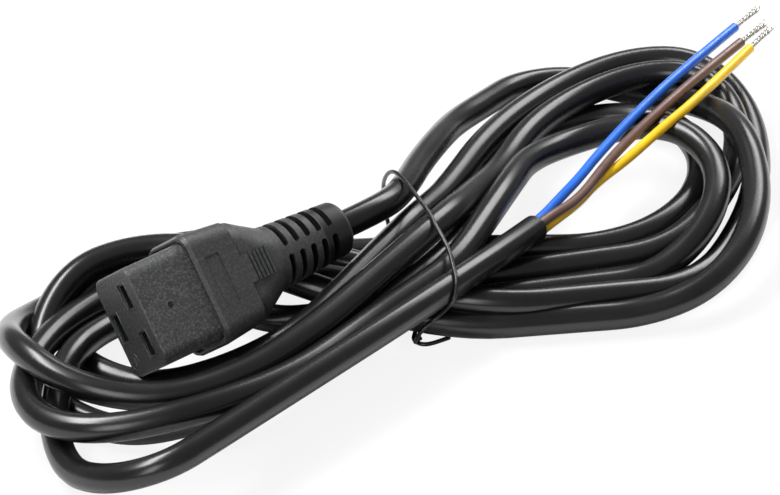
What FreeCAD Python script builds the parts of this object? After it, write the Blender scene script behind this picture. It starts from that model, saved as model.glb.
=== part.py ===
"""C19 mains lead with stripped ends, stored as a figure-of-eight hank with a wire tie.

Frame: millimetres, +Z up. The origin is the centre of the connector's mating face,
and +X runs from that face to the cable. The connector lies rolled about its own axis,
nested in the left lobe of the hank, and the hank stands on the surface below.
"""
import FreeCAD, Part
import math
import os
from FreeCAD import Placement, Rotation, Vector
from Sketcher import Constraint

DOC = FreeCAD.newDocument("c19_lead")

# ---------------------------------------------------------------- driving dimensions
SIZES = [
    # the lead
    ("cord_dia", 8.4, "sheath of a three-core 1.5 mm2 flexible cord"),
    ("core_dia", 3.0, "one insulated core"),
    ("wire_dia", 1.6, "bunch of bare strands in one core"),
    ("tie_dia", 1.1, "plastic covered tie wire"),
    ("tie_room", 0.25, "clearance between the tie and the hank"),
    ("axis_height", 27.5, "connector axis over the surface that the hank lies on"),
    ("connector_roll", 47, "degrees that the connector is rolled about its axis"),
    # contact carrier, the hard front of the connector
    ("face_width", 30, "mating face, long side"),
    ("face_thick", 22, "mating face, short side"),
    ("face_corner", 4, "corner radius of the carrier"),
    ("face_round", 0.6, "radius round the edge of the mating face"),
    ("carrier_reach", 20, "length of carrier that goes into the inlet"),
    ("carrier_tail", 6, "length of carrier inside the grip"),
    ("slot_long", 6.9, "line and neutral slots"),
    ("earth_slot_long", 7.9, "earth slot"),
    ("slot_wide", 2.9, "all three slots"),
    ("slot_lip", 3.2, "depth of the slots before the contact chambers"),
    ("rim_margin", 0.8, "shallow frame round each slot"),
    ("rim_sink", 0.3, "depth of that frame"),
    ("line_pitch", 14.5, "line slot to neutral slot"),
    ("line_row", 4.7, "height of the line and neutral slots over the axis"),
    ("earth_row", 6.8, "depth of the earth slot under the axis"),
    ("gate_dia", 2.0, "moulding gate in the wide side"),
    ("gate_place", 8.7, "gate from the mating face"),
    ("gate_sink", 0.9, "depth of the gate"),
    # folded contacts
    ("contact_gap", 0.1, "clearance of a contact in its chamber"),
    ("contact_sheet", 0.5, "contact sheet metal"),
    ("contact_side", 0.5, "contact box beyond each end of its slot"),
    ("contact_rise", 0.7, "contact box over and under its slot"),
    ("contact_seam", 0.8, "open seam of the folded box"),
    ("contact_long", 14.0, "length of the folded box"),
    ("crimp_wall", 0.6, "wall of the crimp barrel"),
    ("crimp_long", 7.0, "length of the crimp barrel"),
    # hidden moulding round the crimps
    ("inner_width", 23, "inner mould, long side"),
    ("inner_thick", 16.5, "inner mould, short side"),
    ("inner_corner", 3, "inner mould, corner radius"),
    ("inner_long", 9, "inner mould, length behind the carrier"),
    ("sheath_start", 22, "start of the sheath, behind the front of the grip"),
    ("core_entry", 5, "depth of the cores inside the cut sheath"),
    ("core_spread", 1.75, "core centre from the cord's centre"),
    # grip
    ("collar_width", 34, "grip at its front, long side"),
    ("collar_thick", 26, "grip at its front, short side"),
    ("collar_corner", 5, "corner radius at the front of the grip"),
    ("collar_round", 1.2, "radius round the front edge of the grip"),
    ("mouth_gap", 0.8, "groove between carrier and grip"),
    ("mouth_deep", 1.2, "depth of that groove"),
    ("block_end", 14.5, "end of the flat block, behind the front of the grip"),
    ("block_width", 31.2, "block at its end, long side"),
    ("block_thick", 25.4, "block at its end, short side"),
    ("neck_one", 18, "first section of the neck, behind the front of the grip"),
    ("neck_one_width", 30.2, "its long side"),
    ("neck_one_thick", 23.4, "its short side"),
    ("neck_two", 22.5, "second section of the neck, behind the front of the grip"),
    ("neck_two_width", 26.2, "its long side"),
    ("neck_two_thick", 21.8, "its short side"),
    ("neck_front_corner", 6, "corner radius of the neck under the block"),
    ("neck_one_corner", 8, "corner radius of the first neck section"),
    ("neck_two_corner", 9.8, "corner radius of the second neck section"),
    ("neck_step", 0.9, "step from the block down to the neck"),
    ("neck_lap", 3, "neck hidden inside the block"),
    ("tongue_half", 4.2, "half width of the flat tongue that carries the ribs"),
    ("tongue_end", 23.2, "end of the tongue, behind the front of the grip"),
    ("tongue_level", 12.6, "top of the tongue over the axis"),
    ("rib_count", 5, "finger grooves"),
    ("rib_first", 16.8, "first finger groove, behind the front of the grip"),
    ("rib_pitch", 1.3, "groove to groove"),
    ("rib_wide", 0.6, "width of a groove"),
    ("rib_sink", 0.7, "depth of a groove"),
    ("label_start", 3.6, "label recess, behind the front of the grip"),
    ("label_long", 4.8, "label recess along the axis"),
    ("label_half", 8.0, "label recess, half width"),
    ("label_sink", 0.5, "depth of the label recess"),
    # strain relief
    ("boot_start", 28, "strain relief, behind the front of the grip"),
    ("boot_dia", 20, "strain relief at its front"),
    ("boot_end", 55, "end of the strain relief, behind the front of the grip"),
    ("boot_end_dia", 16.2, "strain relief at its end"),
    ("boot_round", 2.0, "radius round its end"),
    ("ring_count", 5, "slotted rings"),
    ("ring_first", 31.4, "first ring, behind the front of the grip"),
    ("ring_pitch", 4.1, "ring to ring"),
    ("ring_wide", 2.0, "width of a ring slot"),
    ("ring_floor_dia", 11, "floor of the ring slots"),
    ("spine_half", 2.2, "slot end from the middle of the spine"),
    # hank
    ("left_x", 15, "left lobe, centre"),
    ("left_y", 0, "left lobe, centre"),
    ("left_long", 118, "left lobe, outside, along X"),
    ("left_wide", 94, "left lobe, outside, along Y"),
    ("left_turn", 0, "degrees that the left lobe is turned"),
    ("left_height", 24, "left lobe, height"),
    ("left_hole_x", 12, "opening of the left lobe, centre"),
    ("left_hole_y", 6, "opening of the left lobe, centre"),
    ("left_hole_long", 46, "left lobe, opening along X"),
    ("left_hole_wide", 18, "left lobe, opening along Y"),
    ("right_x", 174, "right lobe, centre"),
    ("right_y", -12.5, "right lobe, centre"),
    ("right_long", 140, "right lobe, outside, along its length"),
    ("right_wide", 120, "right lobe, outside, across"),
    ("right_turn", 27, "degrees that the right lobe is turned"),
    ("right_height", 22, "right lobe, height"),
    ("right_hole_x", 163, "opening of the right lobe, centre"),
    ("right_hole_y", -14, "opening of the right lobe, centre"),
    ("right_hole_long", 78, "right lobe, opening along its length"),
    ("right_hole_wide", 28, "right lobe, opening across"),
    ("waist_x", 93, "crossing under the tie, centre"),
    ("waist_y", -13, "crossing under the tie, centre"),
    ("waist_long", 120, "crossing, along the strands"),
    ("waist_wide", 57, "crossing, across the strands"),
    ("waist_turn", -25, "degrees that the crossing is turned"),
    ("waist_height", 23, "height of the crossing"),
    ("hank_bevel", 4.0, "bevel round the top of the hank"),
    ("hank_flat", 1.0, "half of the flat at the end of each oval of the hank"),
    ("nest_gap", 0.3, "clearance between the strain relief and the hank"),
    ("face_room", 4.0, "clear room in front of the mating face"),
    ("least_bend", 5, "smallest bend of the cord, in diameters"),
    ("least_core_bend", 3, "smallest bend of a loose core, in diameters"),
    ("crimp_lead", 2.5, "straight run of a core at each end of its bend"),
    ("arc_share", 0.45, "share of each straight run that its arc takes"),
]


# ---------------------------------------------------------------- the sheet
class Size:
    """A length that knows both its value and the sheet expression that gives it."""

    def __init__(self, value, text):
        self.value = float(value)
        self.text = text

    def _join(self, other, sign, value):
        return Size(value, f"({self.text} {sign} {wrap(other).text})")

    def __add__(self, other):
        return self._join(other, "+", self.value + wrap(other).value)

    def __sub__(self, other):
        return self._join(other, "-", self.value - wrap(other).value)

    def __mul__(self, other):
        return self._join(other, "*", self.value * wrap(other).value)

    def __truediv__(self, other):
        return self._join(other, "/", self.value / wrap(other).value)

    def __neg__(self):
        return Size(-self.value, f"(0 - {self.text})")


def wrap(value):
    return value if isinstance(value, Size) else Size(value, repr(float(value)))


ZERO = wrap(0)


def make_sheet():
    sheet = DOC.addObject("Spreadsheet::Sheet", "sizes")
    for row, (alias, value, note) in enumerate(SIZES, start=1):
        sheet.set(f"A{row}", alias)
        sheet.set(f"B{row}", str(value))
        sheet.setAlias(f"B{row}", alias)
        sheet.set(f"C{row}", note)
    DOC.recompute()
    return sheet


SHEET = make_sheet()


def size(alias):
    return Size(SHEET.get(alias), f"sizes.{alias}")


def number(alias):
    return float(SHEET.get(alias))


def behind(alias):
    """A place behind the front of the grip, measured from the mating face."""
    return size("carrier_reach") + size(alias)


def bind(thing, name, value):
    """Set a property and tie it to the sheet."""
    setattr(thing, name, value.value)
    thing.setExpression(name, value.text)


# ---------------------------------------------------------------- sketches
def origin_feature(body, role):
    return next(item for item in body.Origin.OriginFeatures if item.Role == role)


def sketch_on(body, name, plane, offset=ZERO):
    """An empty sketch on one of the body's own origin planes, moved along its normal."""
    sketch = body.newObject("Sketcher::SketchObject", name)
    sketch.AttachmentSupport = [(origin_feature(body, plane), "")]
    sketch.MapMode = "FlatFace"
    sketch.AttachmentOffset = Placement(Vector(0, 0, offset.value), Rotation())
    sketch.setExpression("AttachmentOffset.Base.z", offset.text)
    return sketch


def fix_distance(sketch, kind, geometry, point, value, name):
    """Hold a point at a signed distance from the sketch's origin along one axis."""
    axis_line = -2 if kind == "DistanceX" else -1
    if abs(value.value) < 1e-9:
        sketch.addConstraint(Constraint("PointOnObject", geometry, point, axis_line))
        return
    if value.value > 0:
        ends = (-1, 1, geometry, point)
        distance = value
    else:
        ends = (geometry, point, -1, 1)
        distance = -value
    index = sketch.addConstraint(Constraint(kind, *ends, distance.value))
    sketch.renameConstraint(index, name)
    sketch.setExpression(f"Constraints.{name}", distance.text)


def fix_point(sketch, geometry, point, place, name):
    fix_distance(sketch, "DistanceX", geometry, point, place[0], name + "X")
    fix_distance(sketch, "DistanceY", geometry, point, place[1], name + "Y")


def polygon(sketch, corners, name="P"):
    """A closed outline of straight lines through corners given as pairs of sizes."""
    count = len(corners)
    spots = [Vector(x.value, y.value, 0) for x, y in corners]
    first = sketch.GeometryCount
    for index in range(count):
        sketch.addGeometry(Part.LineSegment(spots[index], spots[(index + 1) % count]), False)
    for index in range(count):
        after = first + (index + 1) % count
        sketch.addConstraint(Constraint("Coincident", first + index, 2, after, 1))
    for index, corner in enumerate(corners):
        fix_point(sketch, first + index, 1, corner, f"{name}{index}")


def box_outline(sketch, low_x, high_x, low_y, high_y, name="P"):
    corners = [(low_x, low_y), (high_x, low_y), (high_x, high_y), (low_x, high_y)]
    polygon(sketch, corners, name)


def circle(sketch, centre, radius, name="C"):
    spot = Vector(centre[0].value, centre[1].value, 0)
    index = sketch.addGeometry(Part.Circle(spot, Vector(0, 0, 1), radius.value), False)
    fix_point(sketch, index, 3, centre, name)
    rule = sketch.addConstraint(Constraint("Radius", index, radius.value))
    sketch.renameConstraint(rule, name + "R")
    sketch.setExpression(f"Constraints.{name}R", radius.text)


def rounded_outline(sketch, wide, high, corner):
    """A rectangle centred on the origin with four tangent corner arcs."""
    half_x, half_y, radius = wide.value / 2, high.value / 2, corner.value
    in_x, in_y = half_x - radius, half_y - radius
    quarter = math.pi / 2
    lines = [
        (Vector(-in_x, -half_y, 0), Vector(in_x, -half_y, 0)),
        (Vector(half_x, -in_y, 0), Vector(half_x, in_y, 0)),
        (Vector(in_x, half_y, 0), Vector(-in_x, half_y, 0)),
        (Vector(-half_x, in_y, 0), Vector(-half_x, -in_y, 0)),
    ]
    centres = [(in_x, -in_y), (in_x, in_y), (-in_x, in_y), (-in_x, -in_y)]
    for index in range(4):
        sketch.addGeometry(Part.LineSegment(*lines[index]), False)
        start = (index - 1) * quarter
        ring = Part.Circle(Vector(*centres[index], 0), Vector(0, 0, 1), radius)
        sketch.addGeometry(Part.ArcOfCircle(ring, start, start + quarter), False)
    for index in range(4):
        line, arc = 2 * index, 2 * index + 1
        following = (2 * index + 2) % 8
        sketch.addConstraint(Constraint("Tangent", line, 2, arc, 1))
        sketch.addConstraint(Constraint("Tangent", arc, 2, following, 1))
    for index in (3, 5, 7):
        sketch.addConstraint(Constraint("Equal", 1, index))
    sketch.addConstraint(Constraint("Horizontal", 0))
    sketch.addConstraint(Constraint("Vertical", 2))
    fix_distance(sketch, "DistanceY", 0, 1, -high / 2, "Bottom")
    fix_distance(sketch, "DistanceX", 2, 1, wide / 2, "Right")
    fix_distance(sketch, "DistanceY", 4, 1, high / 2, "Top")
    fix_distance(sketch, "DistanceX", 6, 1, -wide / 2, "Left")
    rule = sketch.addConstraint(Constraint("Radius", 1, corner.value))
    sketch.renameConstraint(rule, "Corner")
    sketch.setExpression("Constraints.Corner", corner.text)


# ---------------------------------------------------------------- bodies and features
def new_body(label, rolled=True):
    """A body, rolled with the connector about the connector's axis."""
    body = DOC.addObject("PartDesign::Body", label)
    body.Label = label
    if rolled:
        body.Placement = Placement(Vector(), Rotation(Vector(1, 0, 0), number("connector_roll")))
        body.setExpression("Placement.Rotation.Angle", "sizes.connector_roll")
    return body


def pad(body, name, sketch, length, both_ways=False):
    feature = body.newObject("PartDesign::Pad", name)
    feature.Profile = sketch
    bind(feature, "Length", length)
    feature.SideType = "Symmetric" if both_ways else "One side"
    return feature


def pocket(body, name, sketch, depth, reverse=False, both_ways=False):
    """Cut and check that something was cut, because a pocket can point at thin air."""
    DOC.recompute()
    before = body.Shape.Volume
    feature = body.newObject("PartDesign::Pocket", name)
    feature.Profile = sketch
    bind(feature, "Length", depth)
    feature.Reversed = reverse
    feature.SideType = "Symmetric" if both_ways else "One side"
    DOC.recompute()
    if body.Shape.Volume > before - 1e-6:
        raise RuntimeError(f"{body.Label}: {name} cuts nothing")
    return feature


def line_pattern(body, name, originals, direction, spacing, count):
    pattern = body.newObject("PartDesign::LinearPattern", name)
    pattern.Originals = originals
    pattern.Direction = (origin_feature(body, direction), [""])
    pattern.Mode = "Spacing"
    bind(pattern, "Offset", spacing)
    pattern.Occurrences = int(count.value)
    pattern.setExpression("Occurrences", count.text)
    body.Tip = pattern
    return pattern


def edges_where(shape, test):
    return [f"Edge{index}" for index, edge in enumerate(shape.Edges, start=1) if test(edge)]


def round_edges(body, name, base, test, radius):
    DOC.recompute()
    names = edges_where(base.Shape, test)
    if not names:
        raise RuntimeError(f"{body.Label}: {name} finds no edge")
    feature = body.newObject("PartDesign::Fillet", name)
    feature.Base = (base, names)
    bind(feature, "Radius", radius)
    return feature


def bevel_edges(body, name, base, test, width):
    DOC.recompute()
    feature = body.newObject("PartDesign::Chamfer", name)
    feature.Base = (base, edges_where(base.Shape, test))
    bind(feature, "Size", width)
    return feature


def lies_at_x(place, tolerance=1e-4):
    """A test for edges that lie wholly in the plane at one distance along X."""
    def test(edge):
        box = edge.BoundBox
        return abs(box.XMin - place) < tolerance and abs(box.XMax - place) < tolerance
    return test



# ---------------------------------------------------------------- the three ways through
class Way:
    """One pole of the connector: its slot, contact and core share these sizes."""

    def __init__(self, name, across, height, slot_long, turn):
        self.name = name
        self.across = across
        self.height = height
        self.slot_long = slot_long
        self.turn = turn

    def box(self, half_long, half_wide):
        return (self.across - half_long, self.across + half_long,
                self.height - half_wide, self.height + half_wide)

    def slot(self, margin=ZERO):
        return self.box(self.slot_long / 2 + margin, size("slot_wide") / 2 + margin)

    def contact_half(self):
        return (self.slot_long / 2 + size("contact_side"),
                size("slot_wide") / 2 + size("contact_rise"))

    def chamber(self):
        half_long, half_wide = self.contact_half()
        return self.box(half_long + size("contact_gap"), half_wide + size("contact_gap"))

    def crimp_centre(self):
        """The barrel sits on the floor of its folded box."""
        return Vector(0, self.across.value, self.height.value)

    def core_in_sheath(self):
        """Where the core lies inside the round cord."""
        angle = math.radians(self.turn)
        spread = number("core_spread")
        return Vector(0, spread * math.cos(angle), spread * math.sin(angle))


WAYS = [
    Way("line", size("line_pitch") / 2, size("line_row"), size("slot_long"), 30),
    Way("neutral", -size("line_pitch") / 2, size("line_row"), size("slot_long"), 150),
    Way("earth", ZERO, -size("earth_row"), size("earth_slot_long"), 270),
]


def make_carrier():
    """Hard front of the connector with slots, contact chambers and a gate mark."""
    body = new_body("contact_carrier")
    reach = size("carrier_reach")
    whole = reach + size("carrier_tail")
    outline = sketch_on(body, "face_outline", "YZ_Plane")
    rounded_outline(outline, size("face_width"), size("face_thick"), size("face_corner"))
    block = pad(body, "block", outline, whole)
    round_edges(body, "face_edge", block, lies_at_x(0), size("face_round"))
    rims = sketch_on(body, "slot_rims", "YZ_Plane")
    slots = sketch_on(body, "slots", "YZ_Plane")
    chambers = sketch_on(body, "chambers", "YZ_Plane", whole)
    for way in WAYS:
        box_outline(rims, *way.slot(size("rim_margin")), way.name)
        box_outline(slots, *way.slot(), way.name)
        box_outline(chambers, *way.chamber(), way.name)
    pocket(body, "rim_pockets", rims, size("rim_sink"), reverse=True)
    pocket(body, "slot_pockets", slots, reach, reverse=True)
    pocket(body, "chamber_pockets", chambers, whole - size("slot_lip"))
    gate = sketch_on(body, "gate", "XY_Plane", size("face_thick") / 2)
    circle(gate, (size("gate_place"), ZERO), size("gate_dia") / 2)
    pocket(body, "gate_pocket", gate, size("gate_sink"))
    return body


def make_contact(way):
    """A strip folded into an open-seamed box, with a crimp barrel behind it."""
    body = new_body(f"{way.name}_contact")
    half_long, half_wide = way.contact_half()
    sheet = size("contact_sheet")
    seam = size("contact_seam") / 2
    left, right = way.across - half_long, way.across + half_long
    low, high = way.height - half_wide, way.height + half_wide
    start = size("slot_lip") + size("contact_gap")
    end = start + size("contact_long")
    fold = sketch_on(body, "fold", "YZ_Plane", start)
    polygon(fold, [
        (left, low), (right, low), (right, high), (way.across + seam, high),
        (way.across + seam, high - sheet), (right - sheet, high - sheet),
        (right - sheet, low + sheet), (left + sheet, low + sheet),
        (left + sheet, high - sheet), (way.across - seam, high - sheet),
        (way.across - seam, high), (left, high),
    ])
    pad(body, "folded_box", fold, size("contact_long"))
    outer = size("wire_dia") / 2 + size("crimp_wall")
    web = sketch_on(body, "web", "YZ_Plane", start)
    box_outline(web, way.across - outer, way.across + outer, low, low + sheet)
    pad(body, "web_strip", web, size("contact_long") + size("crimp_long"))
    post = sketch_on(body, "post", "YZ_Plane", end)
    box_outline(post, way.across - outer, way.across + outer, low, way.height)
    pad(body, "crimp_foot", post, size("crimp_long"))
    barrel = sketch_on(body, "barrel", "YZ_Plane", end)
    circle(barrel, (way.across, way.height), outer)
    pad(body, "crimp_barrel", barrel, size("crimp_long"))
    bore = sketch_on(body, "bore", "YZ_Plane", end)
    circle(bore, (way.across, way.height), size("wire_dia") / 2)
    pocket(body, "crimp_bore", bore, size("crimp_long"), reverse=True)
    return body


# ---------------------------------------------------------------- round runs of wire and cord
def rounded_path(corners, label, least=0.0):
    """Straight runs joined by the largest tangent arcs that their lengths allow."""
    edges = []
    radii = []
    start = corners[0]
    for before, corner, after in zip(corners, corners[1:], corners[2:]):
        arriving = (corner - before).normalize()
        leaving = (after - corner).normalize()
        turn = arriving.getAngle(leaving)
        run = min(before.distanceToPoint(corner), corner.distanceToPoint(after))
        trim = number("arc_share") * run
        radius = trim / math.tan(turn / 2)
        radii.append(radius)
        arc_start = corner - arriving * trim
        arc_end = corner + leaving * trim
        middle = corner + (leaving - arriving).normalize() * (radius / math.cos(turn / 2) - radius)
        edges.append(Part.LineSegment(start, arc_start).toShape())
        edges.append(Part.Arc(arc_start, middle, arc_end).toShape())
        start = arc_end
    edges.append(Part.LineSegment(start, corners[-1]).toShape())
    wire = Part.Wire(edges)
    print(f"{label}: length {wire.Length:.1f}, radii", " ".join(f"{item:.0f}" for item in radii))
    if radii and min(radii) < least:
        raise RuntimeError(f"{label}: bend of {min(radii):.1f} is under {least:.1f}")
    return wire


def round_run(wire, diameter, mitred=False):
    """A solid of round section along a wire that starts straight."""
    start = wire.Vertexes[0].Point
    direction = wire.Edges[0].tangentAt(wire.Edges[0].FirstParameter)
    ring = Part.Wire(Part.Circle(start, direction, diameter / 2).toShape())
    solid = wire.makePipeShell([ring], True, False, 1 if mitred else 0)
    expected = math.pi * diameter ** 2 / 4 * wire.Length
    if abs(solid.Volume / expected - 1) > 0.01:
        raise RuntimeError("a run of cord has the wrong volume")
    return solid


def keep(label, shape, rolled=False):
    """Store a shape as a node of its own."""
    node = DOC.addObject("Part::Feature", label)
    node.Label = label
    node.Shape = shape
    if rolled:
        roll = Rotation(Vector(1, 0, 0), number("connector_roll"))
        node.Placement = Placement(Vector(), roll)
    return node


def core_line(way):
    """Centre line of a core from its crimp to its place in the sheath."""
    start = number("slot_lip") + number("contact_gap") + number("contact_long")
    crimp_end = start + number("crimp_long")
    lead = number("crimp_lead")
    sheath = behind("sheath_start").value
    crimp = way.crimp_centre()
    inside = way.core_in_sheath()
    along = Vector(1, 0, 0)
    return [
        crimp + along * start,
        crimp + along * (crimp_end + lead),
        inside + along * (sheath - lead / 2),
        inside + along * (sheath + number("core_entry")),
    ]


def make_cores():
    """Conductor and insulation of each core, from crimp to sheath."""
    runs = []
    for way in WAYS:
        line = core_line(way)
        bared = line[0] + Vector(number("crimp_long"), 0, 0)
        conductor = round_run(Part.makePolygon(line), number("wire_dia"), mitred=True)
        jacket = round_run(Part.makePolygon([bared] + line[1:]), number("core_dia"), mitred=True)
        keep(f"{way.name}_conductor", conductor, rolled=True)
        keep(f"{way.name}_core", jacket.cut(conductor), rolled=True)
        runs.append(jacket.fuse(conductor))
    return runs


def make_inner_mould(cores):
    """Stiff block moulded round the crimps before the grip goes over it."""
    body = new_body("inner_mould_block")
    start = size("carrier_reach") + size("carrier_tail")
    outline = sketch_on(body, "inner_outline", "YZ_Plane", start)
    rounded_outline(outline, size("inner_width"), size("inner_thick"), size("inner_corner"))
    pad(body, "inner_block", outline, size("inner_long"))
    return cut_from(body, cores, "inner_mould")


def make_sheath_end(cores):
    """The cord's own sheath where the strain relief holds it."""
    body = new_body("sheath_block")
    outline = sketch_on(body, "sheath_outline", "YZ_Plane", behind("sheath_start"))
    circle(outline, (ZERO, ZERO), size("cord_dia") / 2)
    pad(body, "sheath_round", outline, behind("boot_end") - behind("sheath_start"))
    return cut_from(body, cores, "sheath_end")


def cut_from(body, tool, label):
    cut = DOC.addObject("Part::Cut", label)
    cut.Label = label
    cut.Base = body
    cut.Tool = tool
    return cut


def section(body, name, place, wide, thick, corner):
    sketch = sketch_on(body, name, "YZ_Plane", place)
    rounded_outline(sketch, wide, thick, corner)
    return sketch


def loft(body, name, sections):
    feature = body.newObject("PartDesign::AdditiveLoft", name)
    feature.Profile = sections[0]
    feature.Sections = sections[1:]
    feature.Ruled = True
    return feature


def add_grip_form(body):
    """Tapered block, neck and flat tongue of the grip."""
    edge = size("collar_round")
    start = size("carrier_reach")
    block = [
        section(body, "collar_lip", start, size("collar_width") - edge,
                size("collar_thick") - edge, size("collar_corner") - edge / 2),
        section(body, "collar_front", start + edge, size("collar_width"),
                size("collar_thick"), size("collar_corner")),
        section(body, "block_back", behind("block_end"), size("block_width"),
                size("block_thick"), size("collar_corner")),
    ]
    loft(body, "block", block)
    boot = size("boot_dia")
    neck = [
        section(body, "neck_front", behind("block_end") - size("neck_lap"),
                size("block_width") - size("rib_sink"),
                size("block_thick") - size("neck_step") * 2, size("neck_front_corner")),
        section(body, "neck_one", behind("neck_one"), size("neck_one_width"),
                size("neck_one_thick"), size("neck_one_corner")),
        section(body, "neck_two", behind("neck_two"), size("neck_two_width"),
                size("neck_two_thick"), size("neck_two_corner")),
        section(body, "neck_back", behind("boot_start"), boot, boot, boot / 2 - size("face_round")),
    ]
    loft(body, "neck", neck)
    side = sketch_on(body, "tongue_side", "XZ_Plane")
    level = size("tongue_level")
    lap = behind("block_end") - size("neck_lap")
    box_outline(side, lap, behind("tongue_end"), -level, level)
    pad(body, "tongue", side, size("tongue_half") * 2, both_ways=True)


def add_boot(body):
    """Conical strain relief with a rounded end."""
    side = sketch_on(body, "boot_side", "XY_Plane")
    start, end = behind("boot_start"), behind("boot_end")
    polygon(side, [(start, ZERO), (end, ZERO), (end, size("boot_end_dia") / 2),
                   (start, size("boot_dia") / 2)])
    cone = body.newObject("PartDesign::Revolution", "boot_cone")
    cone.Profile = side
    cone.ReferenceAxis = (origin_feature(body, "X_Axis"), [""])
    cone.Angle = 360
    round_edges(body, "boot_edge", cone, lies_at_x(behind("boot_end").value), size("boot_round"))


def add_grooves(body):
    """Finger grooves across both tongues, and the bare label recess on one side."""
    grooves = sketch_on(body, "finger_groove", "XZ_Plane")
    start = behind("rib_first")
    level = size("tongue_level")
    for name, side in (("upper", 1), ("lower", -1)):
        rows = [(level - size("rib_sink")) * side, (level + size("rib_sink")) * side]
        rows.sort(key=lambda row: row.value)
        box_outline(grooves, start, start + size("rib_wide"), rows[0], rows[1], name)
    first = pocket(body, "first_groove", grooves, size("tongue_half") * 3, both_ways=True)
    line_pattern(body, "finger_grooves", [first], "X_Axis", size("rib_pitch"), size("rib_count"))
    DOC.recompute()
    label = sketch_on(body, "label_outline", "XY_Plane", size("collar_thick") / 2)
    half = size("label_half")
    label_end = behind("label_start") + size("label_long")
    box_outline(label, behind("label_start"), label_end, -half, half)
    pocket(body, "label_recess", label, size("label_sink"))


def add_rings(body):
    """Half rings cut from both sides of the strain relief, with round ends at two spines."""
    place = behind("ring_first")
    half = size("ring_wide") / 2
    floor = size("ring_floor_dia") / 2
    outside = size("boot_dia") / 2 + size("boot_round")
    cuts = []
    for name, side in (("left", 1), ("right", -1)):
        profile = sketch_on(body, f"{name}_ring", "XY_Plane")
        rows = sorted([floor * side, outside * side], key=lambda row: row.value)
        box_outline(profile, place - half, place + half, rows[0], rows[1])
        groove = body.newObject("PartDesign::Groove", f"{name}_half_ring")
        groove.Profile = profile
        groove.ReferenceAxis = (origin_feature(body, "X_Axis"), [""])
        groove.Midplane = True
        groove.setExpression(
            "Angle", "180 deg - 2 * atan(2 * sizes.spine_half / sizes.boot_dia)")
        cuts.append(groove)
    for name, side in (("top", 1), ("bottom", -1)):
        ends = sketch_on(body, f"{name}_ends", "XY_Plane", outside * side)
        circle(ends, (place, size("spine_half")), half, "A")
        circle(ends, (place, -size("spine_half")), half, "B")
        cuts.append(pocket(body, f"{name}_ring_ends", ends, outside - floor, reverse=side < 0))
    line_pattern(body, "rings", cuts, "X_Axis", size("ring_pitch"), size("ring_count"))
    DOC.recompute()


def add_cavities(body):
    """Room for the carrier, the inner mould and the cord."""
    tail_end = size("carrier_reach") + size("carrier_tail")
    mouth = sketch_on(body, "mouth", "YZ_Plane", size("carrier_reach") + size("mouth_deep"))
    gap = size("mouth_gap") * 2
    rounded_outline(mouth, size("face_width") + gap, size("face_thick") + gap,
                    size("face_corner") + size("mouth_gap"))
    pocket(body, "mouth_groove", mouth, size("mouth_deep"))
    seat = sketch_on(body, "carrier_seat", "YZ_Plane", tail_end)
    rounded_outline(seat, size("face_width"), size("face_thick"), size("face_corner"))
    pocket(body, "carrier_pocket", seat, size("carrier_tail"))
    inner = sketch_on(body, "inner_seat", "YZ_Plane", tail_end + size("inner_long"))
    rounded_outline(inner, size("inner_width"), size("inner_thick"), size("inner_corner"))
    pocket(body, "inner_pocket", inner, size("inner_long") + size("carrier_tail"))
    bore = sketch_on(body, "cord_bore", "YZ_Plane", behind("sheath_start"))
    circle(bore, (ZERO, ZERO), size("cord_dia") / 2)
    pocket(body, "cord_hole", bore, behind("boot_end") - behind("sheath_start"), reverse=True)


def make_grip(cores):
    """The soft moulding: grip and strain relief in one piece."""
    body = new_body("grip_block")
    add_grip_form(body)
    add_boot(body)
    add_grooves(body)
    add_rings(body)
    add_cavities(body)
    return cut_from(body, cores, "grip_overmould")


# ---------------------------------------------------------------- the cord outside the connector
# Lead from the end of the strain relief down to the hank, and the end that leaves the tie.
LEAD = [(0, 0, 0), (10, 0, 0), (21.7, 2.1, -1.2), (32.7, 6.3, -3.6), (48, 16.3, -9.2),
        (63.5, 28, -12.6)]
TAIL = [(100, -29.9, -12.7), (131, -22.3, -13.3)]

# Loose cores: degrees round the sheath, then their route over the right lobe.
LOOSE = {
    "blue": (0, [(172, -9.3, -6.2), (206, 1.5, -4), (240.8, 11.1, -4)]),
    "brown": (120, [(172, -13.2, -7.2), (205, -4.6, -4), (236.6, 3.6, -4)]),
    "yellow": (240, [(166, -20.2, -10.6), (203, -12, -4), (236.5, -0.6, -4)]),
}
CORE_LEAD = 14
BARE_LONG = 14.5

# The tie: under the crossing, up behind it, over the lead and the strands, and down again.
TIE = [(89.6, -43.4, -26.95), (103, 14.2, -26.95), (102.5, 14.2, -6), (101.6, 10, 2.1),
       (106, 0.7, 2.1), (104.5, -5, -3.95), (90.5, -40.5, -3.95), (89.6, -44.6, -8.5),
       (89.6, -44.6, -25.7)]


def points(route, start=Vector()):
    return [start + Vector(*place) for place in route]


def make_lead():
    least = number("least_bend") * number("cord_dia")
    route = points(LEAD, Vector(behind("boot_end").value, 0, 0))
    return keep("cord_lead", round_run(rounded_path(route, "lead", least), number("cord_dia")))


def make_tail():
    return keep("cord_tail", round_run(rounded_path(points(TAIL), "tail"), number("cord_dia")))


def make_loose_core(colour, turn, route):
    """One insulated core from the stripped end of the sheath, and its bare strands."""
    start, end = points(TAIL)
    along = (end - start).normalize()
    side = Vector(0, 0, 1).cross(along).normalize()
    up = along.cross(side)
    angle = math.radians(turn)
    spread = number("core_spread")
    first = end + side * (spread * math.cos(angle)) + up * (spread * math.sin(angle))
    corners = [first, first + along * CORE_LEAD] + points(route)
    least = number("least_core_bend") * number("core_dia")
    path = rounded_path(corners, f"{colour} core tail", least)
    core = keep(f"{colour}_core_tail", round_run(path, number("core_dia")))
    leaving = (corners[-1] - corners[-2]).normalize()
    bare = Part.makeCylinder(number("wire_dia") / 2, BARE_LONG, corners[-1], leaving)
    return [core, keep(f"{colour}_strands", bare)]


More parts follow.
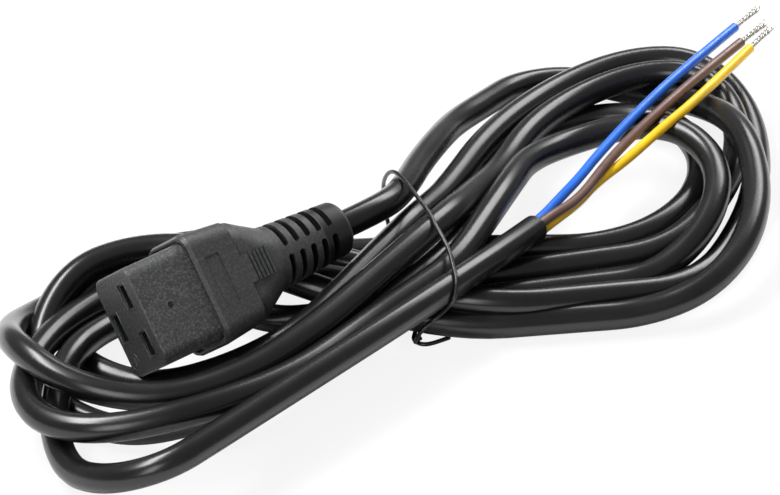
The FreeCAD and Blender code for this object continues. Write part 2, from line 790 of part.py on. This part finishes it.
def make_tie():
    """A wire bent round the crossing, the lead and the tail, and the room that it takes."""
    path = Part.makePolygon(points(TIE))
    keep("tie_wire", round_run(path, number("tie_dia"), mitred=True))
    room = number("tie_dia") + 2 * number("tie_room")
    return keep("tie_room", round_run(path, room, mitred=True))


def oval(name, turn, height, edge=None):
    """An upright block with round ends that stands on the surface under the hank."""
    body = new_body(name, rolled=False)
    base = (size(f"{name}_x"), size(f"{name}_y"), -size("axis_height"))
    body.Placement = Placement(Vector(*[item.value for item in base]),
                               Rotation(Vector(0, 0, 1), turn.value))
    for axis, item in zip("xyz", base):
        body.setExpression(f"Placement.Base.{axis}", item.text)
    body.setExpression("Placement.Rotation.Angle", turn.text)
    outline = sketch_on(body, f"{name}_outline", "XY_Plane")
    long, wide = size(f"{name}_long"), size(f"{name}_wide")
    rounded_outline(outline, long, wide, wide / 2 - size("hank_flat"))
    block = pad(body, f"{name}_block", outline, height)
    if edge is not None:
        def on_top(rim):
            return rim.BoundBox.ZMin > height.value - 1e-6
        bevel_edges(body, f"{name}_edge", block, on_top, edge)
    return body


def lobe(side):
    """One end of the figure of eight: the outer block and its opening."""
    turn, height = size(f"{side}_turn"), size(f"{side}_height")
    outer = oval(side, turn, height, size("hank_bevel"))
    return outer, oval(f"{side}_hole", turn, height)


def make_nest():
    """The room that the connector takes in the left lobe."""
    body = new_body("connector_nest")
    outline = sketch_on(body, "nest_outline", "YZ_Plane", -size("face_room"))
    rounded_outline(outline, size("collar_width"), size("collar_thick"), size("collar_corner"))
    pad(body, "nest_block", outline, behind("boot_start") + size("face_room"))
    boot = sketch_on(body, "boot_outline", "YZ_Plane", behind("boot_start") - size("nest_gap"))
    circle(boot, (ZERO, ZERO), size("boot_dia") / 2)
    pad(body, "boot_room", boot, behind("boot_end") - behind("boot_start") + size("nest_gap") * 2)
    return body


def make_hank(neighbours):
    """Outer shape of the coiled cord, cleared for everything that lies on it."""
    left, left_hole = lobe("left")
    right, right_hole = lobe("right")
    waist = oval("waist", size("waist_turn"), size("waist_height"), size("hank_bevel"))
    outer = DOC.addObject("Part::MultiFuse", "hank_outside")
    outer.Shapes = [left, right, waist]
    room = DOC.addObject("Part::MultiFuse", "hank_room")
    room.Shapes = [left_hole, right_hole, make_nest()] + neighbours
    return cut_from(outer, room, "cord_hank")


# ---------------------------------------------------------------- build, check and write
NODES = (
    ["contact_carrier", "line_contact", "neutral_contact", "earth_contact"]
    + ["line_conductor", "neutral_conductor", "earth_conductor"]
    + ["line_core", "neutral_core", "earth_core"]
    + ["inner_mould", "sheath_end", "grip_overmould"]
    + ["cord_lead", "cord_hank", "cord_tail", "tie_wire"]
    + ["blue_core_tail", "brown_core_tail", "yellow_core_tail"]
    + ["blue_strands", "brown_strands", "yellow_strands"]
)


def build_connector():
    make_carrier()
    for way in WAYS:
        make_contact(way)
    runs = make_cores()
    cores = keep("core_runs", runs[0].fuse(runs[1:]), rolled=True)
    make_inner_mould(cores)
    make_sheath_end(cores)
    make_grip(cores)


def build_cord():
    neighbours = [make_lead(), make_tail(), make_tie()]
    for colour, (turn, route) in LOOSE.items():
        neighbours += make_loose_core(colour, turn, route)
    make_hank(neighbours)


def check_document():
    for item in DOC.Objects:
        if "Invalid" in item.State or "Error" in item.State:
            raise RuntimeError(f"{item.Label} is {item.State}")


def write_parts():
    os.makedirs("parts", exist_ok=True)
    for name in NODES:
        shape = DOC.getObject(name).Shape
        if shape.isNull() or not shape.isValid() or len(shape.Solids) != 1:
            raise RuntimeError(f"{name}: {len(shape.Solids)} solids, valid {shape.isValid()}")
        shape.exportStep(f"parts/{name}.step")
        box = shape.BoundBox
        print(f"{name}: {shape.Volume:.0f} mm3,",
              f"{box.XLength:.1f} x {box.YLength:.1f} x {box.ZLength:.1f} mm")


build_connector()
build_cord()
DOC.recompute()
check_document()
write_parts()
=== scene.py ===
"""Dressed model of the C19 lead: coiled cord, tie, stripped cores and materials.

Places and sizes of shapes are in millimetres: the origin is the middle of the mating face,
+X runs towards the cable and +Z is up. Materials, lights and the floor's size are in metres.
"""
import math

import bpy
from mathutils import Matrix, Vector


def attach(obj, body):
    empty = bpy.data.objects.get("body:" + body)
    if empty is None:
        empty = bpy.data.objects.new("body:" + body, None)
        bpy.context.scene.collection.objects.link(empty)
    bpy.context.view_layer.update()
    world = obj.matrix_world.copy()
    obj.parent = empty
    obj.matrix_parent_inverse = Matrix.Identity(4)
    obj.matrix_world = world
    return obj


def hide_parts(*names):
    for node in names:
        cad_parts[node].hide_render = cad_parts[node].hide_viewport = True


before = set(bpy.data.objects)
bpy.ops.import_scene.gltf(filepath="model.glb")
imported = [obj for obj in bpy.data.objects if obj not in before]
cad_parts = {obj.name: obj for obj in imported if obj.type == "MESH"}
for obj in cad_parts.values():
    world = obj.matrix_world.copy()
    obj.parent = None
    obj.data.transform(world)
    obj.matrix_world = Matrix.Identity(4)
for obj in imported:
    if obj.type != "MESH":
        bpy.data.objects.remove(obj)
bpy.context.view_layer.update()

MM = 0.001
FLOOR = -27.5
ROLL = math.radians(47)      # the connector's turn about its own long axis
CORD_DIA = 8.4
CORE_DIA = 3.0
TIE_DIA = 1.3


def add_object(name, data):
    item = bpy.data.objects.new(name, data)
    bpy.context.collection.objects.link(item)
    return item


def aim(item, place, target):
    """Put a camera or a light at a place, turned towards its target."""
    item.location = place
    line = (Vector(target) - Vector(place)).normalized()
    item.rotation_euler = line.to_track_quat("-Z", "Y").to_euler()


# ---------------------------------------------------------------- camera
CAMERA_PLACE = (-562.3, -819.2, 746.6)
CAMERA_TARGET = (95.3, 1.6, -17.5)
LENS = 202.9
SENSOR = 36
CLIP_NEAR, CLIP_FAR = 0.05, 50


def make_camera():
    data = bpy.data.cameras.new("camera")
    data.lens = LENS
    data.sensor_width = SENSOR
    data.clip_start, data.clip_end = CLIP_NEAR, CLIP_FAR
    camera = add_object("camera", data)
    aim(camera, Vector(CAMERA_PLACE) * MM, Vector(CAMERA_TARGET) * MM)
    bpy.context.scene.camera = camera


# ---------------------------------------------------------------- materials
NOISE_LOW, NOISE_HIGH = 0.3, 0.7       # the span that most of a noise lies in
# The near black colour of the painted shade inside the slots.
SLOT_SHADE_BLACK = (0.002, 0.002, 0.002)
# Where painted shade turns the plastic near black, along and from the connector's own axis, in
# metres.
SLOT_START = 0.0004
CARRIER_INSIDE = (0.013, 0.0092)
BOOT_SLOTS = (0.046, 0.0735)
BOOT_INSIDE = 0.0088


class Shader:
    """A Principled material whose colour, gloss and relief follow noise."""

    def __init__(self, name, color, roughness, metallic=0.0):
        self.material = bpy.data.materials.new(name)
        self.material.use_nodes = True
        self.tree = self.material.node_tree
        self.bsdf = self.tree.nodes["Principled BSDF"]
        self.bsdf.inputs["Base Color"].default_value = (*color, 1)
        self.bsdf.inputs["Roughness"].default_value = roughness
        self.bsdf.inputs["Metallic"].default_value = metallic
        self.place = self.node("ShaderNodeTexCoord").outputs["Object"]

    def node(self, kind, **values):
        """A new node, with values for its inputs or for its own settings."""
        node = self.tree.nodes.new(kind)
        for key, value in values.items():
            if key in node.inputs:
                node.inputs[key].default_value = value
            else:
                setattr(node, key, value)
        return node

    def link(self, start, end):
        self.tree.links.new(start, end)

    def noise(self, scale, detail, roughness=0.55):
        node = self.node("ShaderNodeTexNoise", Scale=scale, Detail=detail, Roughness=roughness)
        self.link(self.place, node.inputs["Vector"])
        return node.outputs["Fac"]

    def paint(self, fac, stops):
        """Colour that runs through its stops as the noise rises."""
        node = self.node("ShaderNodeValToRGB")
        elements = node.color_ramp.elements
        while len(elements) < len(stops):
            elements.new(0.5)
        for element, (spot, color) in zip(elements, stops):
            element.position = spot
            element.color = (*color, 1)
        self.link(fac, node.inputs["Fac"])
        self.link(node.outputs["Color"], self.bsdf.inputs["Base Color"])

    def roughen(self, fac, low, high):
        node = self.node("ShaderNodeMapRange")
        node.inputs["To Min"].default_value = low
        node.inputs["To Max"].default_value = high
        node.inputs["From Min"].default_value = NOISE_LOW
        node.inputs["From Max"].default_value = NOISE_HIGH
        self.link(fac, node.inputs["Value"])
        self.link(node.outputs["Result"], self.bsdf.inputs["Roughness"])

    def bump(self, fac, strength, distance):
        node = self.node("ShaderNodeBump", Strength=strength, Distance=distance)
        self.link(fac, node.inputs["Height"])
        self.link(node.outputs["Normal"], self.bsdf.inputs["Normal"])

    def combine(self, operation, first, second=0):
        """A Math node of two sockets or numbers."""
        node = self.node("ShaderNodeMath", operation=operation)
        for socket, value in zip(node.inputs, (first, second)):
            if isinstance(value, (int, float)):
                socket.default_value = value
            else:
                self.link(value, socket)
        return node.outputs["Value"]

    def axes(self):
        """The three coordinates along the connector's own axes, in metres."""
        turned = self.node("ShaderNodeMapping")
        turned.inputs["Rotation"].default_value = (-ROLL, 0, 0)
        self.link(self.place, turned.inputs["Vector"])
        split = self.node("ShaderNodeSeparateXYZ")
        self.link(turned.outputs["Vector"], split.inputs["Vector"])
        return split.outputs

    def paint_shade(self, mask):
        """Painted shade: near black where the mask is 1, over the colour that is already there.
        """
        painted = self.bsdf.inputs["Base Color"].links[0].from_socket
        mix = self.node("ShaderNodeMix", data_type="RGBA")
        self.link(mask, mix.inputs["Factor"])
        self.link(painted, mix.inputs["A"])
        mix.inputs["B"].default_value = (*SLOT_SHADE_BLACK, 1)
        self.link(mix.outputs["Result"], self.bsdf.inputs["Base Color"])


def tint(color, factor):
    return tuple(min(1.0, item * factor) for item in color)


def cord_material(name):
    """Smooth, glossy black PVC."""
    shader = Shader(name, (0.005, 0.005, 0.0055), roughness=0.25)
    haze = shader.noise(scale=30, detail=4)
    shader.paint(haze, [(0.35, (0.004, 0.004, 0.0045)), (0.7, (0.007, 0.007, 0.008))])
    shader.roughen(shader.noise(scale=60, detail=3, roughness=0.5), low=0.24, high=0.29)
    shader.bump(shader.noise(scale=500, detail=2), strength=0.04, distance=0.00005)
    return shader.material


def moulded_shader(name, color, grain, relief, rough, sparkle):
    """Spark-eroded surface of a moulded connector."""
    shader = Shader(name, color, rough)
    fine = shader.noise(scale=grain, detail=2, roughness=0.5)
    shader.paint(fine, [(0.38, tint(color, 1 - sparkle)), (0.5, color),
                        (0.68, tint(color, 1 + 3 * sparkle))])
    shader.roughen(shader.noise(scale=60, detail=5), low=rough - 0.06, high=rough + 0.06)
    shader.bump(fine, strength=relief, distance=0.0001)
    return shader


def paint_slot_shade(shader):
    """Painted shade in the mating face's slots, which hardly any light reaches."""
    along, across, over = shader.axes()
    inside = shader.combine("GREATER_THAN", along, SLOT_START)
    for axis, half in zip((across, over), CARRIER_INSIDE):
        near = shader.combine("LESS_THAN", shader.combine("ABSOLUTE", axis), half)
        inside = shader.combine("MULTIPLY", inside, near)
    # painted shade, near black, over the slots' walls and floors
    shader.paint_shade(inside)


def paint_boot_shade(shader):
    """Painted shade on the walls and floors of the slots of the strain relief, where little
    light reaches.
    """
    along, across, over = shader.axes()
    start, end = BOOT_SLOTS
    square = shader.combine("ADD", shader.combine("POWER", across, 2),
                            shader.combine("POWER", over, 2))
    inside = shader.combine("LESS_THAN", square, BOOT_INSIDE ** 2)
    inside = shader.combine("MULTIPLY", inside, shader.combine("GREATER_THAN", along, start))
    inside = shader.combine("MULTIPLY", inside, shader.combine("LESS_THAN", along, end))
    # painted shade, near black, deep in the strain relief's slots
    shader.paint_shade(inside)


def core_material(name, color):
    """Slightly streaky coloured insulation."""
    shader = Shader(name, color, roughness=0.32)
    streak = shader.noise(scale=120, detail=4, roughness=0.6)
    shader.paint(streak, [(0.3, tint(color, 0.86)), (0.7, tint(color, 1.08))])
    shader.roughen(shader.noise(scale=350, detail=4), low=0.26, high=0.42)
    shader.bump(shader.noise(scale=700, detail=3), strength=0.1, distance=0.00006)
    return shader.material


def metal_material(name, color, rough):
    shader = Shader(name, color, rough, metallic=1.0)
    shader.paint(shader.noise(scale=500, detail=4),
                 [(0.3, tint(color, 0.75)), (0.7, tint(color, 1.1))])
    shader.roughen(shader.noise(scale=900, detail=3), low=rough - 0.08, high=rough + 0.12)
    return shader.material


def carrier_material():
    shader = moulded_shader("carrier_plastic", (0.038, 0.0385, 0.04), grain=1500, relief=0.5,
                            rough=0.5, sparkle=0.35)
    # painted shade inside the mating face's slots
    paint_slot_shade(shader)
    return shader.material


def grip_material():
    shader = moulded_shader("grip_pvc", (0.029, 0.0295, 0.031), grain=1400, relief=0.3,
                            rough=0.52, sparkle=0.2)
    # painted shade inside the strain relief's slots
    paint_boot_shade(shader)
    return shader.material


def inner_material():
    return moulded_shader("inner_pvc", (0.08, 0.08, 0.08), grain=500, relief=0.2,
                          rough=0.6, sparkle=0.1).material


CORD = cord_material("cord_pvc")
CARRIER = carrier_material()
GRIP = grip_material()
INNER = inner_material()
BRASS = metal_material("contact_brass", (0.75, 0.58, 0.3), rough=0.3)
TINNED = metal_material("tinned_strands", (0.62, 0.6, 0.55), rough=0.28)
TIE = cord_material("tie_plastic")
CORES = {
    "blue": core_material("blue_pvc", (0.014, 0.13, 0.62)),
    "brown": core_material("brown_pvc", (0.135, 0.075, 0.06)),
    "yellow": core_material("yellow_pvc", (0.84, 0.5, 0.012)),
}


def dress_nodes():
    """Materials of the solids that are shown as they are."""
    looks = {
        "contact_carrier": CARRIER, "grip_overmould": GRIP, "inner_mould": INNER,
        "sheath_end": CORD,
        "line_contact": BRASS, "neutral_contact": BRASS, "earth_contact": BRASS,
        "line_conductor": TINNED, "neutral_conductor": TINNED, "earth_conductor": TINNED,
        "line_core": CORES["brown"], "neutral_core": CORES["blue"],
        "earth_core": CORES["yellow"],
    }
    for name, material in looks.items():
        for slot in bpy.data.objects[name].material_slots:
            slot.material = material


# ---------------------------------------------------------------- round runs
POINT_DEPTH = 1                        # leaves a line's thickness to its points' radius
RUN_RINGS, RUN_STEPS = 7, 10           # smoothness round a run, and along it
CORD_STEPS = 8


def round_curve(name, depth, rings, material):
    """A curve for round lines with closed ends, still without a line."""
    curve = bpy.data.curves.new(name, "CURVE")
    curve.dimensions = "3D"
    curve.bevel_depth = depth
    curve.bevel_resolution = rings
    curve.use_fill_caps = True
    curve.materials.append(material)
    return curve


def add_spline(curve, points, diameter):
    """A smooth open line along control points; the points' radius is its thickness."""
    spline = curve.splines.new("NURBS")
    spline.points.add(len(points) - 1)
    for item, point in zip(spline.points, points):
        item.co = (*(Vector(point) * MM), 1)
        item.radius = diameter / 2 * MM
    spline.order_u = 3
    spline.use_endpoint_u = True


def run_curve(name, points, diameter, material):
    curve = round_curve(name, POINT_DEPTH, RUN_RINGS, material)
    curve.resolution_u = RUN_STEPS
    add_spline(curve, points, diameter)
    run = add_object(name, curve)
    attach(run, "root")
    return run


def line_length(points):
    return sum((Vector(b) - Vector(a)).length for a, b in zip(points, points[1:]))


def curve_points(run):
    """Points along a run's own spline, without its thickness."""
    bare = run.data.copy()
    bare.bevel_depth = 0
    probe = bpy.data.objects.new("probe", bare)
    mesh = bpy.data.meshes.new_from_object(probe)
    places = [vertex.co.copy() for vertex in mesh.vertices]
    bpy.data.meshes.remove(mesh)
    bpy.data.objects.remove(probe)
    bpy.data.curves.remove(bare)
    return places


# ---------------------------------------------------------------- the mating face
# Along the connector's own axes: across is the face's long side, over its short one.
SLOTS = [(7.25, 4.7, 6.9), (-7.25, 4.7, 6.9), (0, -6.8, 7.9)]    # across, over, length
SLOT_WIDE = 2.9
RIM_ROOM = 0.65
RIM_DIA = 0.34
RIM_RINGS = 2
SIGN_PLACE = (-10.3, -7.2)
SIGN_RADIUS = 2.5
SIGN_BARS = [(0.1, 1.7), (0.85, 1.2), (1.6, 0.65)]               # over, half length
SIGN_STEM = 1.8
CIRCLE_POINTS = 40


def rectangle(across, over, half_long, half_wide):
    return [(across + side * half_long, over + end * half_wide)
            for side, end in ((-1, -1), (1, -1), (1, 1), (-1, 1))]


def circle(across, over, radius):
    angles = [math.tau * index / CIRCLE_POINTS for index in range(CIRCLE_POINTS)]
    return [(across + radius * math.cos(angle), over + radius * math.sin(angle))
            for angle in angles]


def rolled(across, over):
    """The frame's y and z of a place given along the connector's own axes."""
    return (across * math.cos(ROLL) - over * math.sin(ROLL),
            across * math.sin(ROLL) + over * math.cos(ROLL))


def make_face_lines():
    """The low rims round the slots and the plain earth sign, raised on the mating face."""
    closed = [rectangle(across, over, long / 2 + RIM_ROOM, SLOT_WIDE / 2 + RIM_ROOM)
              for across, over, long in SLOTS]
    across, over = SIGN_PLACE
    closed.append(circle(across, over, SIGN_RADIUS))
    opened = [[(across - half, over + rise), (across + half, over + rise)]
              for rise, half in SIGN_BARS]
    opened.append([(across, over - SIGN_STEM), (across, over + SIGN_BARS[0][0])])
    curve = round_curve("face_lines", RIM_DIA / 2 * MM, RIM_RINGS, CARRIER)
    for outline in closed + opened:
        spline = curve.splines.new("POLY")
        spline.points.add(len(outline) - 1)
        spline.use_cyclic_u = outline in closed
        for item, corner in zip(spline.points, outline):
            y, z = rolled(*corner)
            item.co = (0, y * MM, z * MM, 1)
    lines = add_object("face_lines", curve)
    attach(lines, "root")


# ---------------------------------------------------------------- the cord
LEAD = [(75, 0, 0), (85, 0, 0), (96.7, 2.1, -1.2), (107.5, 9, -4), (120, 18.5, -7),
        (135.5, 28.5, -10.5), (149.5, 37.5, -15)]
# The half turns of the figure of eight, fitted to the photographed coil and rounded: the
# end, the centre's x and y, the reach, the width, the heading and the sweep in degrees, and
# five heights over the floor.
TURNS = [
    ("right", 169, -12.5, 42, 63, -22, 208, (7, 4.5, 22, 15.5, 5.5)),
    ("left", 15, 5, 37, 36.5, 157, 236, (19, 18.5, 4.5, 5.5, 13)),
    ("right", 169, -4.5, 37.5, 31.5, 5, 258, (4.5, 4.5, 8.5, 6, 4.5)),
    ("left", 20.5, 8, 50, 40.5, 172, 242, (4.5, 4.5, 24.5, 18.5, 23)),
    ("right", 175, -10.5, 51, 32, 21, 239, (14.5, 13, 15.5, 10, 5)),
    ("left", 35.5, 10.5, 43, 30.5, 154, 240, (12.5, 12, 5.5, 4.5, 17.5)),
    ("right", 161, -18, 77.5, 42.5, 27, 215, (15.5, 12, 13, 4.5, 4.5)),
    ("left", 23, -4, 61.5, 37, 184, 242, (9.5, 14.5, 16.5, 22, 19)),
    ("right", 161, -24, 36, 30, 17, 249, (20, 13.5, 18.5, 15.5, 5.5)),
    ("left", 6, -15, 34.5, 49, 124, 224, (4.5, 6, 14, 7, 20.5)),
]
# Where the cord passes the tie after each half turn: x, y and height over the floor.
AT_TIE = [
    (84.5, -33.5, 5.5), (102.5, -21.5, 18.5), (105, 0.5, 5.5), (104.5, -13, 25.5),
    (97.5, -15.5, 5.5), (98, -2.5, 19), (98, -40.5, 11.5), (95, -28, 20.5), (96, -26, 5.5),
    (89, -37, 22),
]
# The line of the cord's last stretch, up to its cut end.
TAIL = [(100, -29.9, -12.7), (131, -22.3, -13.3)]
TURN_POINTS = 9


def level(heights, share):
    """Height at a share of the half turn, straight between its five heights."""
    place = share * (len(heights) - 1)
    low = min(int(place), len(heights) - 2)
    return heights[low] + (heights[low + 1] - heights[low]) * (place - low)


def half_turn(side, x, y, reach, width, heading, sweep, heights):
    """Control points of one end of the eight, clockwise on the right."""
    way = -1 if side == "right" else 1
    heading = math.radians(heading)
    points = []
    for index in range(TURN_POINTS):
        share = index / (TURN_POINTS - 1)
        angle = way * (share - 0.5) * math.radians(sweep)
        along, across = reach * math.cos(angle), width * math.sin(angle)
        points.append((x + along * math.cos(heading) - across * math.sin(heading),
                       y + along * math.sin(heading) + across * math.cos(heading),
                       FLOOR + level(heights, share)))
    return points


def eased(corner, before, after):
    """A point past a turn's end, which leads its last bend evenly into the straight run."""
    corner, before, after = Vector(corner), Vector(before), Vector(after)
    run = after - corner
    leg = min((corner - before).length, run.length / 2)
    return tuple(corner + run.normalized() * leg)


def cord_points():
    """The lead, then the half turns through the tie, then the end that the cores leave."""
    points = list(LEAD)
    for turn, (x, y, height) in zip(TURNS, AT_TIE):
        bend = half_turn(*turn)
        tied = (x, y, FLOOR + height)
        points += [eased(bend[0], bend[1], points[-1]), *bend,
                   eased(bend[-1], bend[-2], tied), tied]
    return points + TAIL[1:]


def make_cord():
    cord = run_curve("cord", cord_points(), CORD_DIA, CORD)
    cord.data.resolution_u = CORD_STEPS
    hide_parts("cord_lead", "cord_hank", "cord_tail")
    length = line_length(curve_points(cord))


# ---------------------------------------------------------------- stripped end
CORE_SPREAD = 1.75           # from the cord's middle to each core's
CORE_SUNK = 2                # how far inside the sheath a core starts
CORE_LEAD = 6                # and how far outside it still runs straight
BARE_LONG = 14.5
TIP_STEP = 0.9               # the wires' tips end up to two steps short
WIRES = 6
WIRE_DIA = 0.62
WIRE_SPREAD = 0.58
WIRE_FLARE = (0.35, 0.65)    # how far every other wire opens towards its tip
FLARE_POWER = 4
WIRE_SUNK = 0.8
WIRE_TURNS = 1.7
WIRE_SPANS = 16
WIRE_RINGS, WIRE_STEPS = 4, 6
# For each core its place round the cord, in degrees, and its route.
LOOSE = {
    "blue": (0, [(144.3, -17.7, -11), (154.2, -15.2, -9.2), (166.2, -10.9, -7.2),
                 (188.3, -3.9, -4.8), (210.6, 2.9, -4), (240.8, 11.1, -4)]),
    "brown": (120, [(148.8, -21.5, -11.2), (164.7, -15, -9), (176.9, -11.9, -6.5),
                    (192.8, -7.9, -4.8), (214.3, -2.1, -4), (236.6, 3.6, -4)]),
    "yellow": (240, [(150.5, -19.5, -14.2), (160, -16.2, -12.9), (172, -16.5, -9.6),
                     (186.5, -14.8, -5.8), (206.2, -11.1, -4), (236.5, -0.6, -4)]),
}


def core_points(turn, route):
    start, end = (Vector(place) for place in TAIL)
    along = (end - start).normalized()
    side = Vector((0, 0, 1)).cross(along).normalized()
    up = along.cross(side)
    angle = math.radians(turn)
    first = end + (side * math.cos(angle) + up * math.sin(angle)) * CORE_SPREAD
    return [first - along * CORE_SUNK, first + along * CORE_LEAD,
            *(Vector(place) for place in route)]


def wire_points(index, end, along, start_angle):
    """One bare wire's points, wound round the others and opening towards its tip."""
    side = along.cross(Vector((0, 0, 1))).normalized()
    up = side.cross(along)
    long = BARE_LONG - TIP_STEP * (index % 3)
    flare = WIRE_FLARE[index % 2]
    points = []
    for step in range(WIRE_SPANS + 1):
        share = step / WIRE_SPANS
        angle = index * math.tau / WIRES + start_angle + share * math.tau * WIRE_TURNS
        spread = WIRE_SPREAD * (1 + flare * share ** FLARE_POWER)
        points.append(end + along * (long * share - WIRE_SUNK)
                      + (side * math.cos(angle) + up * math.sin(angle)) * spread)
    return points


def make_strands(colour, end, along, start_angle):
    """Bare wires of one core, twisted together and a little open at their tips."""
    curve = round_curve(f"{colour}_wires", POINT_DEPTH, WIRE_RINGS, TINNED)
    curve.resolution_u = WIRE_STEPS
    for index in range(WIRES):
        add_spline(curve, wire_points(index, end, along, start_angle), WIRE_DIA)
    wires = add_object(f"{colour}_wires", curve)
    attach(wires, "root")
    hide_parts(f"{colour}_strands")
    return wires


def make_loose_core(colour, turn, route, start_angle):
    points = core_points(turn, route)
    core = run_curve(f"{colour}_tail", points, CORE_DIA, CORES[colour])
    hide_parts(f"{colour}_core_tail")
    along = (points[-1] - points[-2]).normalized()
    wires = make_strands(colour, points[-1], along, start_angle)
    length = line_length(curve_points(core))


# ---------------------------------------------------------------- tie
# From its tail on the floor round a small loop, under the strands and up behind the lead,
# then over the strands and down to the small loop again.
TIE_LOOP = [
    (89, -34, -26.8), (85, -33.5, -26.8), (81.5, -32.5, -26.8), (80, -30.5, -26.8),
    (80.2, -28, -26.8), (82.5, -26, -26.8), (88, -21, -26.8), (94, -12, -26.8), (100, 0, -26.8),
    (104.4, 10, -26.8), (106.8, 17, -23), (106.8, 19, -14), (105.5, 17.5, -7.5),
    (104.5, 15.5, -4), (104, 13.5, -1), (104, 11.5, 0.8), (103.5, 8.5, 2), (102.3, 3.5, 2.6),
    (100.3, -4.5, 2.5), (98.5, -12.3, 2.1), (96.4, -18, 1.5), (94.8, -23.5, 0.5),
    (93, -29, -0.8), (91.3, -32.2, -2), (89.8, -35.2, -3), (88.2, -38, -3.7),
    (86.7, -39.6, -5.6), (85, -40.5, -7.6), (84, -39.5, -10), (84, -37, -13.5),
    (82.5, -35.4, -16), (79.8, -35, -17.4), (78, -34.4, -19), (77.2, -33.4, -22),
    (78, -31.6, -25), (80.2, -29.6, -26.2), (82, -29.2, -26.6),
]


def make_tie():
    loop = run_curve("tie_loop", TIE_LOOP, TIE_DIA, TIE)
    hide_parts("tie_wire")


# ---------------------------------------------------------------- stage and light
FLOOR_MIDDLE = 0.1
FLOOR_HALF = 6
FLOOR_SEEN = 0.87            # how much of the floor's colour is plain white to the camera
WORLD_GLOW = 0.3
LIGHT_TARGET = (0.095, 0, -0.02)
WHITE = (1, 1, 1, 1)


def show_camera(tree, share, plain, seen, surface):
    """Give the camera's own rays a share of the seen shader, and all others the plain one."""
    path = tree.nodes.new("ShaderNodeLightPath")
    part = tree.nodes.new("ShaderNodeMath")
    part.operation = "MULTIPLY"
    part.inputs[1].default_value = share
    mix = tree.nodes.new("ShaderNodeMixShader")
    tree.links.new(path.outputs["Is Camera Ray"], part.inputs[0])
    tree.links.new(part.outputs[0], mix.inputs["Fac"])
    tree.links.new(plain.outputs[0], mix.inputs[1])
    tree.links.new(seen.outputs[0], mix.inputs[2])
    tree.links.new(mix.outputs[0], surface)


def make_floor():
    mesh = bpy.data.meshes.new("floor")
    corners = [(x, y, 0) for x, y in rectangle(0, 0, FLOOR_HALF, FLOOR_HALF)]
    mesh.from_pydata(corners, [], [(0, 1, 2, 3)])
    material = bpy.data.materials.new("floor_white")
    material.use_nodes = True
    tree = material.node_tree
    matt = tree.nodes["Principled BSDF"]
    matt.inputs["Base Color"].default_value = (0.9, 0.9, 0.9, 1)
    matt.inputs["Roughness"].default_value = 0.9
    matt.inputs["Specular IOR Level"].default_value = 0.1
    glow = tree.nodes.new("ShaderNodeEmission")
    glow.inputs["Color"].default_value = WHITE
    show_camera(tree, FLOOR_SEEN, matt, glow, tree.nodes["Material Output"].inputs["Surface"])
    mesh.materials.append(material)
    floor = add_object("floor", mesh)
    floor.location = (FLOOR_MIDDLE, 0, FLOOR * MM)


def make_world():
    world = bpy.data.worlds.new("studio")
    bpy.context.scene.world = world
    world.use_nodes = True
    tree = world.node_tree
    glow = tree.nodes["Background"]
    glow.inputs["Color"].default_value = WHITE
    glow.inputs["Strength"].default_value = WORLD_GLOW
    seen = tree.nodes.new("ShaderNodeBackground")
    seen.inputs["Color"].default_value = WHITE
    seen.inputs["Strength"].default_value = 1.0
    show_camera(tree, 1, glow, seen, tree.nodes["World Output"].inputs["Surface"])


def area_light(name, place, long, wide, power):
    data = bpy.data.lights.new(name, "AREA")
    data.shape = "RECTANGLE"
    data.size, data.size_y = long, wide
    data.energy = power
    aim(add_object(name, data), place, LIGHT_TARGET)


def make_lights():
    area_light("key", (-0.25, 0.5, 1.1), long=1.0, wide=0.3, power=22)
    area_light("fill", (-0.9, -0.7, 0.75), long=0.5, wide=0.8, power=6.5)
    area_light("rim", (0.9, 0.35, 0.7), long=0.7, wide=0.3, power=7)


def finish_scene():
    scene = bpy.context.scene
    scene.view_settings.view_transform = "Standard"
    bpy.context.view_layer.update()


make_camera()
dress_nodes()
make_face_lines()
make_cord()
for number, (colour, (turn, route)) in enumerate(LOOSE.items()):
    make_loose_core(colour, turn, route, start_angle=number)
make_tie()
make_floor()
make_world()
make_lights()
finish_scene()
